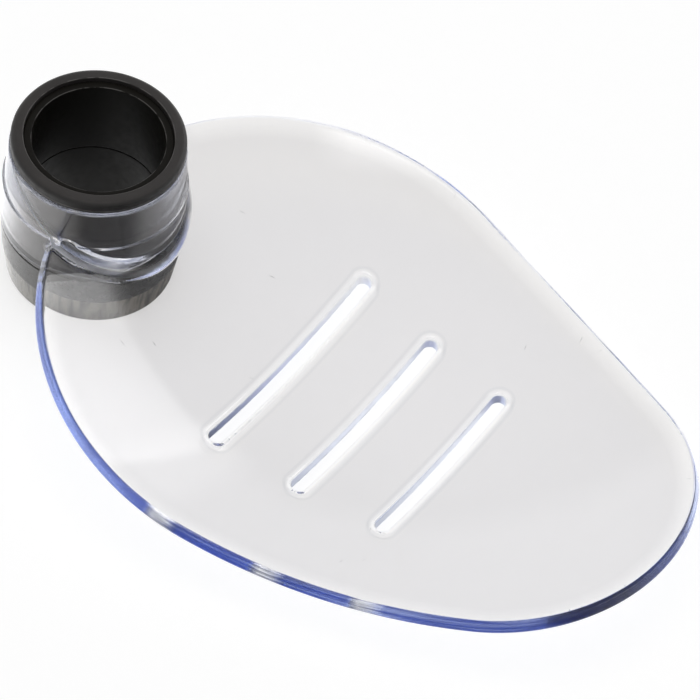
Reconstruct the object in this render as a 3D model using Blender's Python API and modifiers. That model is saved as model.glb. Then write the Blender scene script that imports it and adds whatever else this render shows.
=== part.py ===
"""Soap dish that rides on a shower rail.

A clear moulded tray has a collar at one end. The collar turns on a flanged bush, and a tapered ring
holds it there from below. Two thin liners bring the bush's bore down to the rail.
Metres, +Z up along the rail. The origin is on the rail's axis at the ring's lower face, and +X runs
from the rail to the tray's far end.
"""
from math import atan2, cos, pi, sin, sqrt

import bmesh
import bpy

# Fits
RAIL_RADIUS = 0.0110
RAIL_CLEARANCE = 0.0001
FIT_GAP = 0.0003

# Walls, from the rail outward
LINER_WALL = 0.0011
BUSH_WALL = 0.0009
COLLAR_TOP_WALL = 0.0011
COLLAR_LOW_WALL = 0.0015
BAND_STEP = 0.0003

# Heights along the rail
FLANGE_HEIGHT = 0.0025
COLLAR_HEIGHT = 0.0172
RING_HEIGHT = 0.0122
RING_FLOOR = 0.0045
LINER_RECESS = 0.00085

# Outer forms of the bush and its ring, each measured out from the bush's sleeve
FLANGE_REACH = 0.0012
RING_TOP_REACH = 0.00195
RING_WAIST_REACH = 0.0015
RING_WAIST_HEIGHT = 0.0063
RING_FOOT_REACH = 0.0006
EDGE_ROUND = 0.0004
BEAD_ABOVE_FLOOR = 0.0035
BEAD_RISE = 0.0004
BEAD_HALF_WIDTH = 0.0008

# Tray: two round ends on the axis, joined on each side by one long arc
BIG_END_RADIUS = 0.0431
SMALL_END_RADIUS = 0.0305
SMALL_END_CENTRE = 0.0851
SIDE_RADIUS = 0.2140
TRAY_THICKNESS = 0.0024
RIM_ROUND = 0.0006

# Bowl: a spherical cap sunk into the tray
BOWL_RADIUS = 0.1136
BOWL_CENTRE = 0.0636
BOWL_FLOOR = 0.0028

# Slit between the collar's hoop and the tray, rounded over most of its height at its tips
SLIT_HEIGHT = 0.0019
SLIT_INSET = 0.0008
SLIT_ROUND_SHARE = 0.9

# Drain slots, the longest nearest the rail
SLOT_COUNT = 3
SLOT_WIDTH = 0.0025
SLOT_FIRST = 0.0415
SLOT_PITCH = 0.0155
SLOT_LENGTH = 0.0441
SLOT_SHORTER = 0.0043

# Fineness of the curved faces
TURN_STEPS = 72
ROUND_STEPS = 2
SMALL_END_STEPS = 12
SIDE_STEPS = 9
BIG_END_STEPS = 20
INSET_SHARES = (0.10, 0.26, 0.46, 0.65, 0.83)
CORE_SCALES = (0.66, 0.33)
SLOT_END_STEPS = 8
SHARP_ANGLE = 0.6
WELD_DISTANCE = 0.000001

# Sizes that follow from those above
BORE_RADIUS = RAIL_RADIUS + RAIL_CLEARANCE
LINER_RADIUS = BORE_RADIUS + LINER_WALL
BUSH_BORE = LINER_RADIUS + FIT_GAP
BUSH_RADIUS = BUSH_BORE + BUSH_WALL
COLLAR_BORE = BUSH_RADIUS + FIT_GAP
COLLAR_FOOT = RING_HEIGHT + FIT_GAP
COLLAR_TOP = COLLAR_FOOT + COLLAR_HEIGHT
FLANGE_FOOT = COLLAR_TOP + FIT_GAP
TOTAL_HEIGHT = FLANGE_FOOT + FLANGE_HEIGHT
FLANGE_RADIUS = BUSH_RADIUS + FLANGE_REACH
RING_TOP_RADIUS = BUSH_RADIUS + RING_TOP_REACH
RING_WAIST_RADIUS = BUSH_RADIUS + RING_WAIST_REACH
RING_FOOT_RADIUS = BUSH_RADIUS + RING_FOOT_REACH
BEAD_HEIGHT = RING_FLOOR + BEAD_ABOVE_FLOOR
BIG_END_CENTRE = BIG_END_RADIUS

# How far cutters run past what they cut
MARGIN = 0.0050
SHORT_MARGIN = 0.0006

# Plastics
PLASTIC_IOR = 1.49
CLEAR_FADE = 0.65

PART_NAME = "soap_dish"
CUTTERS_NAME = "soap_dish_cutters"


def clear_scene():
    """Empties the scene and drops what its objects leave behind."""
    for item in list(bpy.data.objects):
        bpy.data.objects.remove(item, do_unlink=True)
    bpy.data.orphans_purge(do_recursive=True)


def collection(name):
    """A collection of that name, linked to the scene."""
    group = bpy.data.collections.get(name) or bpy.data.collections.new(name)
    if group.name not in bpy.context.scene.collection.children:
        bpy.context.scene.collection.children.link(group)
    return group


def material(name, colour, roughness, clear=0.0):
    """A Principled plastic, clear where it lets light through."""
    made = bpy.data.materials.new(name)
    made.use_nodes = True
    shader = made.node_tree.nodes["Principled BSDF"]
    shader.inputs["Base Color"].default_value = (*colour, 1.0)
    shader.inputs["Roughness"].default_value = roughness
    shader.inputs["Metallic"].default_value = 0.0
    shader.inputs["IOR"].default_value = PLASTIC_IOR
    shader.inputs["Transmission Weight"].default_value = clear
    made.diffuse_color = (*colour, 1.0 - CLEAR_FADE * clear)
    return made


def add_object(name, mesh, group):
    """Puts a mesh into the scene as a named object."""
    item = bpy.data.objects.new(name, mesh)
    group.objects.link(item)
    return item


def as_cutter(item):
    """Hides a guide or cutter from the render and draws it as wire."""
    item.hide_render = True
    item.display_type = "WIRE"
    return item


def smooth(mesh):
    """Shades round faces smooth and keeps real edges sharp."""
    mesh.shade_smooth()
    mesh.set_sharp_from_angle(angle=SHARP_ANGLE)


def turned(name, profile, group, closed=True):
    """A solid turned about the rail's axis from (radius, height) points that run down its outer side."""
    mesh = bpy.data.meshes.new(name)
    points = [(radius, 0.0, height) for radius, height in profile]
    edges = [(i, i + 1) for i in range(len(points) - 1)]
    if closed:
        edges.append((len(points) - 1, 0))
    mesh.from_pydata(points, edges, [])
    item = add_object(name, mesh, group)
    screw = item.modifiers.new("turn", "SCREW")
    screw.axis = "Z"
    screw.steps = TURN_STEPS
    screw.render_steps = TURN_STEPS
    screw.use_merge_vertices = True
    screw.merge_threshold = WELD_DISTANCE
    screw.use_smooth_shade = True
    return item


def cut(item, tool, operation="DIFFERENCE"):
    """Cuts one object with another, or joins them."""
    step = item.modifiers.new(tool.name, "BOOLEAN")
    step.operation = operation
    step.solver = "EXACT"
    step.object = tool


def rounded(radius, height, quadrant, size):
    """Points of a small quarter round on an outer or inner corner, in the order of a profile.

    The corner is at (radius, height), and quadrant gives the direction from the corner to the round's centre.
    """
    side, lift = quadrant
    centre = (radius + side * size, height + lift * size)
    turns = [0.5 * pi * step / ROUND_STEPS for step in range(ROUND_STEPS + 1)]
    arc = [(centre[0] - side * size * sin(turn), centre[1] - lift * size * cos(turn)) for turn in turns]
    if side * lift < 0:
        arc.reverse()
    return arc


def arc_points(centre, radius, start, stop, steps):
    """Points along an arc, without its last one."""
    turns = [start + (stop - start) * step / steps for step in range(steps)]
    return [(centre[0] + radius * cos(turn), centre[1] + radius * sin(turn)) for turn in turns]


def tray_outline(inset):
    """The tray's outline, drawn in by an inset, as arcs that stay tangent to each other."""
    to_big = SIDE_RADIUS - BIG_END_RADIUS
    to_small = SIDE_RADIUS - SMALL_END_RADIUS
    span = SMALL_END_CENTRE - BIG_END_CENTRE
    along = (to_big ** 2 - to_small ** 2 + span ** 2) / (2.0 * span)
    centre = (BIG_END_CENTRE + along, -sqrt(to_big ** 2 - along ** 2))
    at_small = atan2(-centre[1], SMALL_END_CENTRE - centre[0])
    at_big = atan2(-centre[1], BIG_END_CENTRE - centre[0])
    half = arc_points((SMALL_END_CENTRE, 0.0), SMALL_END_RADIUS - inset, 0.0, at_small, SMALL_END_STEPS)
    half += arc_points(centre, SIDE_RADIUS - inset, at_small, at_big, SIDE_STEPS)
    half += arc_points((BIG_END_CENTRE, 0.0), BIG_END_RADIUS - inset, at_big, pi, BIG_END_STEPS)
    rail_end = (BIG_END_CENTRE - BIG_END_RADIUS + inset, 0.0)
    mirrored = [(x, -y) for x, y in reversed(half[1:])]
    return half + [rail_end] + mirrored


def bowl_height(x, y):
    """Height of the tray's upper face."""
    return BOWL_FLOOR + BOWL_RADIUS - sqrt(BOWL_RADIUS ** 2 - (x - BOWL_CENTRE) ** 2 - y ** 2)


def off_bowl(x, y, lift):
    """The point raised by lift from the bowl over (x, y), square to the bowl's surface."""
    middle = BOWL_FLOOR + BOWL_RADIUS
    shrink = 1.0 - lift / BOWL_RADIUS
    return (
        BOWL_CENTRE + (x - BOWL_CENTRE) * shrink,
        y * shrink,
        middle + (bowl_height(x, y) - middle) * shrink,
    )


def tray_face(outer_inset, lift):
    """Loops of one curved face of the tray, from the middle out, raised by lift from the bowl."""
    insets = [share * SMALL_END_RADIUS for share in INSET_SHARES if share * SMALL_END_RADIUS > outer_inset]
    core = tray_outline(insets[-1])
    flat = []
    for scale in reversed(CORE_SCALES):
        flat.append([(BOWL_CENTRE + (x - BOWL_CENTRE) * scale, y * scale) for x, y in core])
    for inset in reversed(insets):
        flat.append(tray_outline(inset))
    return [[off_bowl(x, y, lift) for x, y in loop] for loop in flat]


def rim_loops(inset, lift, size, way):
    """Loops of the quarter round between a face and the rim's side. The way is 1 on the upper face, else -1."""
    loops = []
    for step in range(ROUND_STEPS + 1):
        turn = 0.5 * pi * step / ROUND_STEPS
        drawn = inset + size * (1.0 - sin(turn))
        level = lift - way * size * (1.0 - cos(turn))
        loops.append([off_bowl(x, y, level) for x, y in tray_outline(drawn)])
    return loops


def bowl_slab(name, group, low, high, inset, top_round, foot_round):
    """A slab that follows the bowl from low to high of its upper face, with a rim square to the bowl."""
    loops = tray_face(inset + top_round, high)
    loops += rim_loops(inset, high, top_round, 1)
    loops += list(reversed(rim_loops(inset, low, foot_round, -1)))
    loops += list(reversed(tray_face(inset + foot_round, low)))
    form = bmesh.new()
    rings = [[form.verts.new(point) for point in loop] for loop in loops]
    for outer, inner in zip(rings[1:], rings[:-1]):
        for index in range(len(outer)):
            after = (index + 1) % len(outer)
            form.faces.new((inner[index], outer[index], outer[after], inner[after]))
    for loop, lift in ((rings[0], high), (rings[-1], low)):
        cap = form.faces.new(loop)
        middle = bmesh.ops.poke(form, faces=[cap])["verts"][0]
        middle.co = off_bowl(BOWL_CENTRE, 0.0, lift)
    bmesh.ops.recalc_face_normals(form, faces=form.faces)
    mesh = bpy.data.meshes.new(name)
    form.to_mesh(mesh)
    form.free()
    return add_object(name, mesh, group)


def slot_cutter(name, group, centre, length):
    """An upright prism with half-round ends, long across the tray."""
    radius = SLOT_WIDTH / 2.0
    reach = length / 2.0 - radius
    outline = arc_points((centre, reach), radius, 0.0, pi, SLOT_END_STEPS) + [(centre - radius, reach)]
    outline += arc_points((centre, -reach), radius, pi, 2.0 * pi, SLOT_END_STEPS) + [(centre + radius, -reach)]
    form = bmesh.new()
    foot = form.faces.new([form.verts.new((x, y, -MARGIN)) for x, y in outline])
    raised = bmesh.ops.extrude_face_region(form, geom=[foot])["geom"]
    lifted = [part for part in raised if isinstance(part, bmesh.types.BMVert)]
    bmesh.ops.translate(form, verts=lifted, vec=(0.0, 0.0, TOTAL_HEIGHT + MARGIN))
    bmesh.ops.recalc_face_normals(form, faces=form.faces)
    mesh = bpy.data.meshes.new(name)
    form.to_mesh(mesh)
    form.free()
    return as_cutter(add_object(name, mesh, group))


def corner_height():
    """Height of the tray's upper face where its rim leaves the collar, which is also the band's upper edge."""
    radius = COLLAR_BORE + COLLAR_LOW_WALL
    along = radius ** 2 / (2.0 * BIG_END_RADIUS)
    across = sqrt(radius ** 2 - along ** 2)
    return bowl_height(along, across)


def collar_blank(group):
    """The collar before it is bored: a drafted hoop over a slightly wider band, slit above the tray."""
    top_radius = COLLAR_BORE + COLLAR_TOP_WALL
    low_radius = COLLAR_BORE + COLLAR_LOW_WALL
    band_radius = low_radius + BAND_STEP
    band_top = corner_height()
    profile = [(0.0, COLLAR_TOP)]
    profile += rounded(top_radius, COLLAR_TOP, (-1, -1), EDGE_ROUND)
    profile += [(low_radius, band_top + BAND_STEP), (band_radius, band_top)]
    profile += [(band_radius, COLLAR_FOOT - SHORT_MARGIN), (0.0, COLLAR_FOOT - SHORT_MARGIN)]
    blank = as_cutter(turned("collar_blank", profile, group, closed=False))
    tip_round = SLIT_HEIGHT * SLIT_ROUND_SHARE
    slit = bowl_slab("slit_cutter", group, -TRAY_THICKNESS / 2.0, SLIT_HEIGHT, SLIT_INSET, tip_round, RIM_ROUND)
    cut(blank, as_cutter(slit))
    return blank


def bore_cutter(group):
    """Clears the collar's bore above and the ring's space below."""
    top = TOTAL_HEIGHT + MARGIN
    space = RING_TOP_RADIUS + FIT_GAP
    profile = [(0.0, top), (COLLAR_BORE, top), (COLLAR_BORE, COLLAR_FOOT)]
    profile += [(space, COLLAR_FOOT), (space, -MARGIN), (0.0, -MARGIN)]
    return as_cutter(turned("bore_cutter", profile, group, closed=False))


def make_dish(parts, cutters, clear):
    """The clear moulding: tray, drain slots and collar in one piece."""
    dish = bowl_slab("dish", parts, -TRAY_THICKNESS, 0.0, 0.0, RIM_ROUND, RIM_ROUND)
    cut(dish, collar_blank(cutters), "UNION")
    cut(dish, bore_cutter(cutters))
    for index in range(SLOT_COUNT):
        centre = SLOT_FIRST + SLOT_PITCH * index
        length = SLOT_LENGTH - SLOT_SHORTER * index
        cut(dish, slot_cutter(f"slot_cutter_{index + 1}", cutters, centre, length))
    dish.data.materials.append(clear)
    smooth(dish.data)
    return dish


def make_bush(parts, dark):
    """The flanged bush: a long sleeve with a snap bead near its foot."""
    foot = RING_FLOOR + FIT_GAP
    bead_top = BEAD_HEIGHT + BEAD_HALF_WIDTH
    bead_foot = BEAD_HEIGHT - BEAD_HALF_WIDTH
    profile = rounded(FLANGE_RADIUS, TOTAL_HEIGHT, (-1, -1), EDGE_ROUND)
    profile += rounded(FLANGE_RADIUS, FLANGE_FOOT, (-1, 1), EDGE_ROUND)
    profile += [(BUSH_RADIUS, FLANGE_FOOT), (BUSH_RADIUS, bead_top)]
    profile += [(BUSH_RADIUS + BEAD_RISE, BEAD_HEIGHT), (BUSH_RADIUS, bead_foot)]
    profile += [(BUSH_RADIUS, foot), (BUSH_BORE, foot), (BUSH_BORE, TOTAL_HEIGHT)]
    bush = turned("flanged_bush", profile, parts)
    bush.data.materials.append(dark)
    return bush


def make_ring(parts, dark):
    """The tapered ring that snaps over the bush's foot and holds the collar up."""
    bore = BUSH_RADIUS + FIT_GAP
    groove_top = BEAD_HEIGHT + BEAD_HALF_WIDTH
    groove_foot = BEAD_HEIGHT - BEAD_HALF_WIDTH
    profile = [(bore, RING_HEIGHT), (RING_TOP_RADIUS, RING_HEIGHT)]
    profile += [(RING_WAIST_RADIUS, RING_WAIST_HEIGHT), (RING_FOOT_RADIUS, EDGE_ROUND)]
    profile += [(RING_FOOT_RADIUS - EDGE_ROUND, 0.0), (BUSH_BORE, 0.0), (BUSH_BORE, RING_FLOOR)]
    profile += [(bore, RING_FLOOR), (bore, groove_foot), (bore + BEAD_RISE, BEAD_HEIGHT), (bore, groove_top)]
    ring = turned("retaining_ring", profile, parts)
    ring.data.materials.append(dark)
    return ring


def make_liner(name, parts, foot, top, dark):
    """A thin sleeve that brings the bush's bore down to the rail, eased at both mouths."""
    ease = EDGE_ROUND / 2.0
    profile = [(LINER_RADIUS, top), (LINER_RADIUS, foot), (BORE_RADIUS + ease, foot)]
    profile += [(BORE_RADIUS, foot + ease), (BORE_RADIUS, top - ease), (BORE_RADIUS + ease, top)]
    liner = turned(name, profile, parts)
    liner.data.materials.append(dark)
    return liner


def build():
    """Builds the whole part."""
    clear_scene()
    parts = collection(PART_NAME)
    cutters = collection(CUTTERS_NAME)
    make_dish(parts, cutters, material("clear_acrylic", (0.93, 0.95, 0.97), 0.03, clear=1.0))
    make_bush(parts, material("charcoal_bush", (0.045, 0.043, 0.042), 0.45))
    make_ring(parts, material("charcoal_ring", (0.050, 0.048, 0.046), 0.42))
    upper_dark = material("charcoal_upper_liner", (0.035, 0.034, 0.033), 0.50)
    lower_dark = material("charcoal_lower_liner", (0.037, 0.036, 0.035), 0.50)
    middle = TOTAL_HEIGHT / 2.0
    make_liner("upper_liner", parts, middle + FIT_GAP / 2.0, TOTAL_HEIGHT - LINER_RECESS, upper_dark)
    make_liner("lower_liner", parts, LINER_RECESS, middle - FIT_GAP / 2.0, lower_dark)


build()
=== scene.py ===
"""Looks of a clear soap dish whose collar swivels on a dark bush for a shower rail.

Metres, +Z up along the rail, +X from the rail to the tray's far end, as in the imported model.
"""
from functools import reduce
from math import cos, pi, radians, sin, tan
from types import SimpleNamespace

import bmesh
import bpy
from bpy.props import FloatProperty, FloatVectorProperty, IntProperty, PointerProperty
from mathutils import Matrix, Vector


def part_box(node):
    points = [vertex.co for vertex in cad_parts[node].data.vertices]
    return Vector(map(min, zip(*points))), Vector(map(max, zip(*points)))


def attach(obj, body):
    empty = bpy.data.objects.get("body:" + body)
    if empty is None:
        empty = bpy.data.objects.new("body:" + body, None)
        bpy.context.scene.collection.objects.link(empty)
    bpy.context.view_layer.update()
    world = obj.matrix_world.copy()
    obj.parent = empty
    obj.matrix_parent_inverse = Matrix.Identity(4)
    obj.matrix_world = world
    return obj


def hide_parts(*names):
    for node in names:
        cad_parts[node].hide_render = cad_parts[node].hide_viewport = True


bl_info = {
    "name": "Shower rail soap dish",
    "version": (1, 0, 0),
    "blender": (4, 5, 0),
    "location": "3D View > Sidebar > Soap dish",
    "description": "Makes the dish, its bush, ring and liners, and a plain studio round them",
    "category": "Object",
}

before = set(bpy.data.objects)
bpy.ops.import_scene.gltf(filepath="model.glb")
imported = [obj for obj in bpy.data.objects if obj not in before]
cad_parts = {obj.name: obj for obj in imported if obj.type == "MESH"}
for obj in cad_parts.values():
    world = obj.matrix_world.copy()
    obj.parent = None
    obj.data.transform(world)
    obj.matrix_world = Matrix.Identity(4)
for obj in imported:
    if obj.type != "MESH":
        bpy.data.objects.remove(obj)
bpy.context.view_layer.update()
BUSH_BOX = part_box("flanged_bush")
RING_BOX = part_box("retaining_ring")
UPPER_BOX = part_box("upper_liner")
LOWER_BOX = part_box("lower_liner")

# Camera and its frame
CAMERA_PLACE = (0.425986, -0.648133, 0.963865)
CAMERA_TURN = (38.0988, -4.66277, 35.8692)
CAMERA_LENS = 378.494

# How the dish's skin is made from its rule
FORM_STEP = 0.00003
DENSITY_SCALE = 1000.0
FITTING_PASSES = 3
LEAST_STEEPNESS = 0.25
SLOPE_NAME = "slope"

# How round the slit's tips are, as a share of its height
SLIT_ROUND_SHARE = 0.85

# Steps of the turned pieces, and the half angle in radians above which a corner needs no easing
TURN_STEPS = 192
EASE_STEPS = 5
NEARLY_STRAIGHT = 1.55

# The flange's lower round as a share of its upper one, and how far down its side its painted edge highlight
# lies
FLANGE_FOOT_SHARE = 0.4
FLANGE_HIGHLIGHT_SHARE = 0.75

# How far each liner is drawn past its solid, to close the gap between the two in the picture
LINER_MEET = 0.00012

# Levels of the studio, where 1 is white
WALL_LEVEL = 1.0
CEILING_LEVEL = 0.55
DAY_LEVEL = 0.22
FLOOR_LIFT = 0.72

# Heights above the horizon between which the walls pass into the ceiling, in degrees
CEILING_EDGE = (32.0, 39.0)

# Bright panels of the sky: azimuth, elevation, half width and half height in degrees, soft edge, level
SKY_PANELS = {
    "back right": (73.0, 26.5, 17.0, 12.0, 0.014, 1.15),
    "skirt of the first": (73.0, 23.0, 17.0, 9.0, 0.10, 0.35),
    "strip beside it": (93.5, 29.0, 4.0, 9.5, 0.03, 0.5),
    "right": (61.5, 30.0, 6.0, 10.0, 0.03, 1.2),
    "front": (-57.0, 68.0, 16.0, 9.0, 0.06, 2.5),
}

# How far ahead of its plane a direction must point to meet a panel
PANEL_AHEAD = 0.1

# Painted shade on the floor as mirrors see it, darker in front and a painted shadow under the tray: middle
# and half angle in degrees, reach from the rail in metres
FRONT_SHADE = (-42.0, 33.0, 0.35)
UNDER_TRAY_SHADOW = (0.0, 88.0, 0.027)
SHADE_SOFTNESS = 11.0
SHADE_FRAY = 1.35
MIRRORED_FLOOR_LEVEL = 1.25
LEAST_REACH = 0.001

# The floor's half side, how far it lies below the ring, and its tone where it is worn
FLOOR_HALF_SIDE = 3.0
FLOOR_DROP = 0.0001
FLOOR_WEAR = 0.985

# Light runs round inside the rim by many mirrorings before it leaves
RIM_BOUNCES = 40

# Bands of the clear piece's finish, its painted highlights and its painted shade: in full up to the first
# distance, gone at the second, in metres
COLLAR_REACH = (0.017, 0.021)
LIP_BAND = (0.0006, 0.0011)
BORDER_BAND = (0.0010, 0.0034)
CREASE_BAND = (0.0001, 0.0004)
WALL_BAND = (0.0001, 0.0003)
RIM_BAND = (0.00025, 0.0004)
NEAR_SIDE = (-0.016, -0.006)
# Along +X, where the painted shade on the near rim begins and where it is full
PALE_RIM_REACH = (0.024, 0.044)
LEDGE_REACH = (0.0163, 0.0166)
LEDGE_BAND = (0.00015, 0.0003)
BORE_EDGE = 0.0001
CREASE_PLACE = 0.0013

# The slit's floor near its tips, painted lighter as a painted highlight and made more mirror-like: past the
# hoop, along +X, inside the outline and about its own height
SLIT_PAST_HOOP = (0.0002, 0.0004)
SLIT_FRONT = (0.0120, 0.0145)
SLIT_INSIDE = (-0.0006, -0.0002)
SLIT_FLOOR_BAND = (0.0005, 0.0006)
SLIT_FLOOR_RISE = 0.0002

# Painted highlights where the slots' ends light up the rim, as distances from the rail along +X
GLINTS = (0.0462, 0.0651, 0.0814)
GLINT_BAND = (0.0010, 0.0032)

# How blue the rim is: its least, painted shade that deepens it on the near side, painted streaks of lighter
# and darker blue, and the painted highlights of the glints;
# then how fine the streaks are, and how high they and the plastic's slow waves stand
RIM_LEAST = 0.1
RIM_NEAR_SHADE = 0.8
RIM_STREAKS = 3.2
GLINT_PALENESS = 1.1
GLINT_STREAKS = 4.0
GLINT_MIRROR = 0.1
STREAKS_ACROSS = 2600.0
STREAKS_ALONG = 45.0
STREAK_HEIGHT = 0.00006
WAVE_HEIGHT = 0.00003

# Shares and tones of the clear piece's finishes, painted highlights and painted shade
BORDER_SHARE = 0.55
CREASE_SHARE = 0.4
SLIT_FLOOR_MIRROR = 0.5
WHITE = (1.0, 1.0, 1.0)
# Painted highlight on the slots' lips and along the tray's border
HIGHLIGHT_TONE = (1.0, 0.985, 0.955)
# Painted shade along the crease round the slots
CREASE_SHADE_TONE = (0.66, 0.66, 0.66)
# Painted highlight on the slit's floor
SLIT_FLOOR_HIGHLIGHT_TONE = (0.95, 0.95, 0.95)
SHADOW_TONE = (0.90, 0.91, 0.94, 1.0)

# Roughness that the clear piece's places add to its polish
BORE_ROUGHNESS = 0.16
LEDGE_ROUGHNESS = 0.6
SLIT_FLOOR_ROUGHNESS = 0.15
WALL_ROUGHNESS = 0.35

# Dark plastic: its mottling, the soft edges of its steps, its drawn lines and the painted shade on its flank
UPPER_MOTTLE = 1.35
LOWER_MOTTLE = 1.2
STEP_EDGE = 0.0002
FLANK_EDGE = 0.0003
FLANK_SHARE = 0.6
FLANK_INSET = 0.0005
DRAWN_SCALE = (800.0, 800.0, 30.0)
DARKEST = (0.004, 0.004, 0.004)

# Painted highlight: a lighter broken line along an edge, such as a mouth's
EDGE_HIGHLIGHT_WIDTH = 0.00008
EDGE_HIGHLIGHT_TONE = (0.13, 0.125, 0.12)


def length(name, default, description, **more):
    """A size that a user can change, in metres."""
    return FloatProperty(
        name=name, description=description, default=default, unit="LENGTH", precision=5, **more
    )


def tint(name, default, description):
    """A colour that a user can change."""
    return FloatVectorProperty(
        name=name, description=description, default=default, subtype="COLOR", min=0.0, max=1.0
    )


class DishSizes(bpy.types.PropertyGroup):
    """Sizes of the clear moulding."""

    big_radius: length("Wide end radius", 0.04305, "Radius of the tray's outline at the rail")
    small_radius: length("Far end radius", 0.03045, "Radius of the tray's outline at its far end")
    small_centre: length("Far end centre", 0.0851, "Distance from the rail to the centre of the far end")
    side_radius: length("Side radius", 0.2140, "Radius of the long arcs between the two ends")
    thickness: length("Tray thickness", 0.0024, "Thickness of the tray, square to its face")
    rim_round: length("Rim round", 0.0005, "Round along the rim's upper edge")
    foot_round: length("Lower round", 0.0006, "Round along the rim's lower edge")
    bowl_radius: length("Bowl radius", 0.1136, "Radius of the sphere that the tray follows")
    bowl_centre: length("Bowl centre", 0.0636, "Distance from the rail to the bowl's lowest point")
    bowl_floor: length("Bowl floor", 0.0028, "Height of the bowl's lowest point")
    slot_count: IntProperty(name="Slots", description="Number of drain slots", default=3, min=1)
    slot_width: length("Slot width", 0.0025, "Width of a drain slot")
    slot_first: length("First slot", 0.0415, "Distance from the rail to the first slot")
    slot_pitch: length("Slot pitch", 0.0155, "Distance from slot to slot")
    slot_length: length("Slot length", 0.0441, "Length of the first slot")
    slot_shorter: length("Slot shortening", 0.0043, "How much shorter each next slot is")
    lip_round: length("Lip round", 0.0008, "Round along the slots' upper lips")
    lip_foot: length("Lower lip round", 0.0002, "Round along the slots' lower lips")
    slit_height: length("Slit height", 0.0019, "Height of the slit between hoop and tray")
    slit_inset: length("Slit inset", 0.0008, "How far the slit's tips stay inside the tray's rim")
    bore: length("Collar bore", 0.0137, "Radius of the collar's bore")
    hoop_top: length("Hoop radius at its top", 0.0148, "Outer radius of the hoop at its upper end")
    hoop_foot: length("Hoop radius at its foot", 0.0152, "Outer radius of the hoop at the band")
    band: length("Band radius", 0.0155, "Outer radius of the band under the hoop")
    band_top: length("Band top", 0.0217, "Height of the band's upper edge")
    collar_top: length("Collar top", 0.0297, "Height of the collar's upper end")
    collar_foot: length("Collar foot", 0.0125, "Height of the collar's lower end")
    ring_space: length("Ring space", 0.01565, "Radius kept free for the retaining ring")
    collar_edge: length("Collar edge", 0.0004, "Round on the collar's ends")
    web: length("Web round", 0.0010, "Fillet between tray and collar")
    voxel: length("Skin step", 0.00028, "Spacing of the skin that the form is first made with")
    thinning: FloatProperty(
        name="Thinning",
        description="How far the skin's flat parts are made coarser",
        default=0.0002,
        min=0.0,
        max=1.0,
    )


class BushSizes(bpy.types.PropertyGroup):
    """Sizes of the dark pieces in the collar."""

    flange_radius: length("Flange radius", 0.0146, "Outer radius of the flange")
    flange_height: length("Flange height", 0.0025, "Thickness of the flange")
    flange_ease: length("Flange easing", 0.0009, "Round on the flange's outer upper edge")
    sleeve_radius: length("Sleeve radius", 0.0134, "Outer radius of the bush's sleeve")
    bush_bore: length("Bush bore", 0.0125, "Radius of the bush's bore")
    bush_foot: length("Bush foot", 0.0048, "Height of the bush's lower end")
    bead_height: length("Bead height", 0.0080, "Height of the snap bead")
    bead_rise: length("Bead rise", 0.0004, "How far the snap bead stands out")
    ring_top: length("Ring radius at its top", 0.01535, "Outer radius of the ring under the collar")
    ring_waist: length("Ring radius at its crease", 0.0149, "Outer radius where the ring begins to taper")
    ring_waist_height: length("Ring crease height", 0.0063, "Height of the crease")
    ring_foot: length("Ring radius at its foot", 0.0140, "Outer radius at the ring's lower end")
    ring_shelf: length("Ring shelf", 0.0045, "Height of the shelf that the bush stands on")
    ring_bore: length("Ring bore", 0.0137, "Radius of the ring's bore above its shelf")
    liner_radius: length("Liner radius", 0.01245, "Outer radius of the liners")
    liner_bore: length("Liner bore", 0.0111, "Radius of the liners' bore")
    liner_ease: length("Liner easing", 0.0002, "Round on the liners' mouths")


class Finishes(bpy.types.PropertyGroup):
    """Colours of the dish, its bush and the studio."""

    # The clear face's grey is partly the plastic's own faint warm tint and partly painted shade that dims the
    # floor seen through the tray
    clear_face: tint("Clear face", (0.805, 0.787, 0.768), "What the clear plastic's face lets through")
    # The rim's deep blue is partly the plastic's own blue and partly painted shade
    rim_tone: tint("Rim", (0.05, 0.08, 0.33), "What the rim lets through where it is deepest")
    clear_depth: tint("Clear depth", (0.20, 0.36, 0.79), "What the clear plastic's depth lets through")
    clear_density: FloatProperty(
        name="Depth density", description="Strength of the depth colour, per metre", default=20.0
    )
    bush_tone: tint("Bush", (0.029, 0.0265, 0.0255), "Charcoal of the flanged bush")
    ring_tone: tint("Ring", (0.028, 0.026, 0.023), "Charcoal of the retaining ring above its crease")
    # The taper's paler grey is a painted reflection of the bright floor
    taper_reflection_tone: tint("Ring taper", (0.36, 0.33, 0.275), "Paler grey of the ring's worn taper")
    # Near black: partly the liners' own dark plastic, partly painted shade deep in the bore
    liner_tone: tint("Liner", (0.0062, 0.0056, 0.0045), "Near black of the liners")
    floor_tone: tint("Floor", (0.40, 0.40, 0.40), "Grey of the studio's floor under its white lift")


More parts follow.
